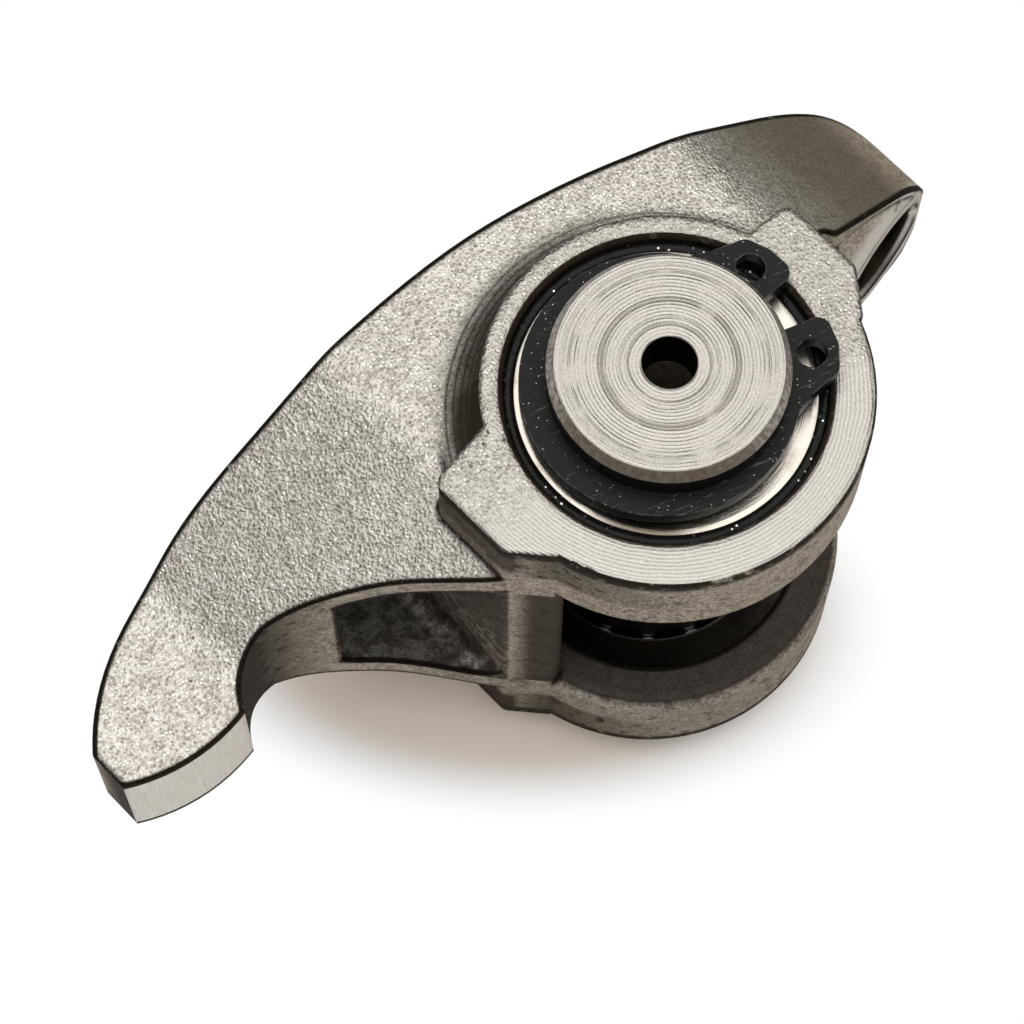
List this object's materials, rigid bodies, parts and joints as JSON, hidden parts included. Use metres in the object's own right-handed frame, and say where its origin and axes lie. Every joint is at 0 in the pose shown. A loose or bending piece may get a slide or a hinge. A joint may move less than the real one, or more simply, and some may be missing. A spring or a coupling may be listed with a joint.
{
  "type": "rocker arm",
  "caption": "Cast steel valve rocker arm with a curved tip pad, a pushrod seat and a drilled trunnion shaft carried in needle bearings between two bosses.",
  "frame": {"origin": "middle of the trunnion, where its axis crosses the axis of its bolt hole", "axes": "+X along the arm towards the pushrod seat, +Y along the bolt hole towards the arm's back, +Z along the trunnion"},
  "size_m": [0.071, 0.0327, 0.0442],
  "materials": {
    "cast_steel": "shot-blasted casting with machined faces",
    "turned_steel": "turned and ground",
    "bearing_steel": "drawn and hardened, oiled",
    "cage_steel": "pressed",
    "needle_steel": "ground and polished",
    "spring_steel": "black phosphate, oiled"
  },
  "bodies": {
    "trunnion": {"trunnion": "turned_steel", "retaining_ring_upper": "spring_steel", "retaining_ring_lower": "spring_steel"},
    "arm": {"rocker_body": "cast_steel", "bearing_shell_upper": "bearing_steel", "bearing_shell_lower": "bearing_steel"},
    "cage_upper": {"bearing_cage_upper": "cage_steel"},
    "needle_upper_01": {"needle_upper_01": "needle_steel"},
    "needle_upper_02": {"needle_upper_02": "needle_steel"},
    "needle_upper_03": {"needle_upper_03": "needle_steel"},
    "needle_upper_04": {"needle_upper_04": "needle_steel"},
    "needle_upper_05": {"needle_upper_05": "needle_steel"},
    "needle_upper_06": {"needle_upper_06": "needle_steel"},
    "needle_upper_07": {"needle_upper_07": "needle_steel"},
    "needle_upper_08": {"needle_upper_08": "needle_steel"},
    "needle_upper_09": {"needle_upper_09": "needle_steel"},
    "needle_upper_10": {"needle_upper_10": "needle_steel"},
    "needle_upper_11": {"needle_upper_11": "needle_steel"},
    "needle_upper_12": {"needle_upper_12": "needle_steel"},
    "needle_upper_13": {"needle_upper_13": "needle_steel"},
    "needle_upper_14": {"needle_upper_14": "needle_steel"},
    "needle_upper_15": {"needle_upper_15": "needle_steel"},
    "needle_upper_16": {"needle_upper_16": "needle_steel"},
    "cage_lower": {"bearing_cage_lower": "cage_steel"},
    "needle_lower_01": {"needle_lower_01": "needle_steel"},
    "needle_lower_02": {"needle_lower_02": "needle_steel"},
    "needle_lower_03": {"needle_lower_03": "needle_steel"},
    "needle_lower_04": {"needle_lower_04": "needle_steel"},
    "needle_lower_05": {"needle_lower_05": "needle_steel"},
    "needle_lower_06": {"needle_lower_06": "needle_steel"},
    "needle_lower_07": {"needle_lower_07": "needle_steel"},
    "needle_lower_08": {"needle_lower_08": "needle_steel"},
    "needle_lower_09": {"needle_lower_09": "needle_steel"},
    "needle_lower_10": {"needle_lower_10": "needle_steel"},
    "needle_lower_11": {"needle_lower_11": "needle_steel"},
    "needle_lower_12": {"needle_lower_12": "needle_steel"},
    "needle_lower_13": {"needle_lower_13": "needle_steel"},
    "needle_lower_14": {"needle_lower_14": "needle_steel"},
    "needle_lower_15": {"needle_lower_15": "needle_steel"},
    "needle_lower_16": {"needle_lower_16": "needle_steel"}
  },
  "joints": [
    {"name": "arm_swing", "type": "hinge", "parent": "trunnion", "child": "arm", "pos_m": [0, 0, 0], "axis": [0, 0, 1], "continuous": true},
    {"name": "cage_turn_upper", "type": "hinge", "parent": "trunnion", "child": "cage_upper", "pos_m": [0, 0, 0.01335], "axis": [0, 0, 1], "continuous": true},
    {"name": "needle_spin_upper_01", "type": "hinge", "parent": "cage_upper", "child": "needle_upper_01", "pos_m": [0.009, 0, 0.01335], "axis": [0, 0, 1], "continuous": true},
    {"name": "needle_spin_upper_02", "type": "hinge", "parent": "cage_upper", "child": "needle_upper_02", "pos_m": [0.00831, 0.00344, 0.01335], "axis": [0, 0, 1], "continuous": true},
    {"name": "needle_spin_upper_03", "type": "hinge", "parent": "cage_upper", "child": "needle_upper_03", "pos_m": [0.00636, 0.00636, 0.01335], "axis": [0, 0, 1], "continuous": true},
    {"name": "needle_spin_upper_04", "type": "hinge", "parent": "cage_upper", "child": "needle_upper_04", "pos_m": [0.00344, 0.00831, 0.01335], "axis": [0, 0, 1], "continuous": true},
    {"name": "needle_spin_upper_05", "type": "hinge", "parent": "cage_upper", "child": "needle_upper_05", "pos_m": [0, 0.009, 0.01335], "axis": [0, 0, 1], "continuous": true},
    {"name": "needle_spin_upper_06", "type": "hinge", "parent": "cage_upper", "child": "needle_upper_06", "pos_m": [-0.00344, 0.00831, 0.01335], "axis": [0, 0, 1], "continuous": true},
    {"name": "needle_spin_upper_07", "type": "hinge", "parent": "cage_upper", "child": "needle_upper_07", "pos_m": [-0.00636, 0.00636, 0.01335], "axis": [0, 0, 1], "continuous": true},
    {"name": "needle_spin_upper_08", "type": "hinge", "parent": "cage_upper", "child": "needle_upper_08", "pos_m": [-0.00831, 0.00344, 0.01335], "axis": [0, 0, 1], "continuous": true},
    {"name": "needle_spin_upper_09", "type": "hinge", "parent": "cage_upper", "child": "needle_upper_09", "pos_m": [-0.009, 0, 0.01335], "axis": [0, 0, 1], "continuous": true},
    {"name": "needle_spin_upper_10", "type": "hinge", "parent": "cage_upper", "child": "needle_upper_10", "pos_m": [-0.00831, -0.00344, 0.01335], "axis": [0, 0, 1], "continuous": true},
    {"name": "needle_spin_upper_11", "type": "hinge", "parent": "cage_upper", "child": "needle_upper_11", "pos_m": [-0.00636, -0.00636, 0.01335], "axis": [0, 0, 1], "continuous": true},
    {"name": "needle_spin_upper_12", "type": "hinge", "parent": "cage_upper", "child": "needle_upper_12", "pos_m": [-0.00344, -0.00831, 0.01335], "axis": [0, 0, 1], "continuous": true},
    {"name": "needle_spin_upper_13", "type": "hinge", "parent": "cage_upper", "child": "needle_upper_13", "pos_m": [0, -0.009, 0.01335], "axis": [0, 0, 1], "continuous": true},
    {"name": "needle_spin_upper_14", "type": "hinge", "parent": "cage_upper", "child": "needle_upper_14", "pos_m": [0.00344, -0.00831, 0.01335], "axis": [0, 0, 1], "continuous": true},
    {"name": "needle_spin_upper_15", "type": "hinge", "parent": "cage_upper", "child": "needle_upper_15", "pos_m": [0.00636, -0.00636, 0.01335], "axis": [0, 0, 1], "continuous": true},
    {"name": "needle_spin_upper_16", "type": "hinge", "parent": "cage_upper", "child": "needle_upper_16", "pos_m": [0.00831, -0.00344, 0.01335], "axis": [0, 0, 1], "continuous": true},
    {"name": "cage_turn_lower", "type": "hinge", "parent": "trunnion", "child": "cage_lower", "pos_m": [0, 0, -0.01335], "axis": [0, 0, 1], "continuous": true},
    {"name": "needle_spin_lower_01", "type": "hinge", "parent": "cage_lower", "child": "needle_lower_01", "pos_m": [0.009, 0, -0.01335], "axis": [0, 0, 1], "continuous": true},
    {"name": "needle_spin_lower_02", "type": "hinge", "parent": "cage_lower", "child": "needle_lower_02", "pos_m": [0.00831, 0.00344, -0.01335], "axis": [0, 0, 1], "continuous": true},
    {"name": "needle_spin_lower_03", "type": "hinge", "parent": "cage_lower", "child": "needle_lower_03", "pos_m": [0.00636, 0.00636, -0.01335], "axis": [0, 0, 1], "continuous": true},
    {"name": "needle_spin_lower_04", "type": "hinge", "parent": "cage_lower", "child": "needle_lower_04", "pos_m": [0.00344, 0.00831, -0.01335], "axis": [0, 0, 1], "continuous": true},
    {"name": "needle_spin_lower_05", "type": "hinge", "parent": "cage_lower", "child": "needle_lower_05", "pos_m": [0, 0.009, -0.01335], "axis": [0, 0, 1], "continuous": true},
    {"name": "needle_spin_lower_06", "type": "hinge", "parent": "cage_lower", "child": "needle_lower_06", "pos_m": [-0.00344, 0.00831, -0.01335], "axis": [0, 0, 1], "continuous": true},
    {"name": "needle_spin_lower_07", "type": "hinge", "parent": "cage_lower", "child": "needle_lower_07", "pos_m": [-0.00636, 0.00636, -0.01335], "axis": [0, 0, 1], "continuous": true},
    {"name": "needle_spin_lower_08", "type": "hinge", "parent": "cage_lower", "child": "needle_lower_08", "pos_m": [-0.00831, 0.00344, -0.01335], "axis": [0, 0, 1], "continuous": true},
    {"name": "needle_spin_lower_09", "type": "hinge", "parent": "cage_lower", "child": "needle_lower_09", "pos_m": [-0.009, 0, -0.01335], "axis": [0, 0, 1], "continuous": true},
    {"name": "needle_spin_lower_10", "type": "hinge", "parent": "cage_lower", "child": "needle_lower_10", "pos_m": [-0.00831, -0.00344, -0.01335], "axis": [0, 0, 1], "continuous": true},
    {"name": "needle_spin_lower_11", "type": "hinge", "parent": "cage_lower", "child": "needle_lower_11", "pos_m": [-0.00636, -0.00636, -0.01335], "axis": [0, 0, 1], "continuous": true},
    {"name": "needle_spin_lower_12", "type": "hinge", "parent": "cage_lower", "child": "needle_lower_12", "pos_m": [-0.00344, -0.00831, -0.01335], "axis": [0, 0, 1], "continuous": true},
    {"name": "needle_spin_lower_13", "type": "hinge", "parent": "cage_lower", "child": "needle_lower_13", "pos_m": [0, -0.009, -0.01335], "axis": [0, 0, 1], "continuous": true},
    {"name": "needle_spin_lower_14", "type": "hinge", "parent": "cage_lower", "child": "needle_lower_14", "pos_m": [0.00344, -0.00831, -0.01335], "axis": [0, 0, 1], "continuous": true},
    {"name": "needle_spin_lower_15", "type": "hinge", "parent": "cage_lower", "child": "needle_lower_15", "pos_m": [0.00636, -0.00636, -0.01335], "axis": [0, 0, 1], "continuous": true},
    {"name": "needle_spin_lower_16", "type": "hinge", "parent": "cage_lower", "child": "needle_lower_16", "pos_m": [0.00831, -0.00344, -0.01335], "axis": [0, 0, 1], "continuous": true}
  ],
  "couplings": [
    {"joint": "cage_turn_upper", "follows": "arm_swing", "ratio": 0.55556},
    {"joint": "needle_spin_upper_01", "follows": "arm_swing", "ratio": 4.4444},
    {"joint": "needle_spin_upper_02", "follows": "arm_swing", "ratio": 4.4444},
    {"joint": "needle_spin_upper_03", "follows": "arm_swing", "ratio": 4.4444},
    {"joint": "needle_spin_upper_04", "follows": "arm_swing", "ratio": 4.4444},
    {"joint": "needle_spin_upper_05", "follows": "arm_swing", "ratio": 4.4444},
    {"joint": "needle_spin_upper_06", "follows": "arm_swing", "ratio": 4.4444},
    {"joint": "needle_spin_upper_07", "follows": "arm_swing", "ratio": 4.4444},
    {"joint": "needle_spin_upper_08", "follows": "arm_swing", "ratio": 4.4444},
    {"joint": "needle_spin_upper_09", "follows": "arm_swing", "ratio": 4.4444},
    {"joint": "needle_spin_upper_10", "follows": "arm_swing", "ratio": 4.4444},
    {"joint": "needle_spin_upper_11", "follows": "arm_swing", "ratio": 4.4444},
    {"joint": "needle_spin_upper_12", "follows": "arm_swing", "ratio": 4.4444},
    {"joint": "needle_spin_upper_13", "follows": "arm_swing", "ratio": 4.4444},
    {"joint": "needle_spin_upper_14", "follows": "arm_swing", "ratio": 4.4444},
    {"joint": "needle_spin_upper_15", "follows": "arm_swing", "ratio": 4.4444},
    {"joint": "needle_spin_upper_16", "follows": "arm_swing", "ratio": 4.4444},
    {"joint": "cage_turn_lower", "follows": "arm_swing", "ratio": 0.55556},
    {"joint": "needle_spin_lower_01", "follows": "arm_swing", "ratio": 4.4444},
    {"joint": "needle_spin_lower_02", "follows": "arm_swing", "ratio": 4.4444},
    {"joint": "needle_spin_lower_03", "follows": "arm_swing", "ratio": 4.4444},
    {"joint": "needle_spin_lower_04", "follows": "arm_swing", "ratio": 4.4444},
    {"joint": "needle_spin_lower_05", "follows": "arm_swing", "ratio": 4.4444},
    {"joint": "needle_spin_lower_06", "follows": "arm_swing", "ratio": 4.4444},
    {"joint": "needle_spin_lower_07", "follows": "arm_swing", "ratio": 4.4444},
    {"joint": "needle_spin_lower_08", "follows": "arm_swing", "ratio": 4.4444},
    {"joint": "needle_spin_lower_09", "follows": "arm_swing", "ratio": 4.4444},
    {"joint": "needle_spin_lower_10", "follows": "arm_swing", "ratio": 4.4444},
    {"joint": "needle_spin_lower_11", "follows": "arm_swing", "ratio": 4.4444},
    {"joint": "needle_spin_lower_12", "follows": "arm_swing", "ratio": 4.4444},
    {"joint": "needle_spin_lower_13", "follows": "arm_swing", "ratio": 4.4444},
    {"joint": "needle_spin_lower_14", "follows": "arm_swing", "ratio": 4.4444},
    {"joint": "needle_spin_lower_15", "follows": "arm_swing", "ratio": 4.4444},
    {"joint": "needle_spin_lower_16", "follows": "arm_swing", "ratio": 4.4444}
  ]
}
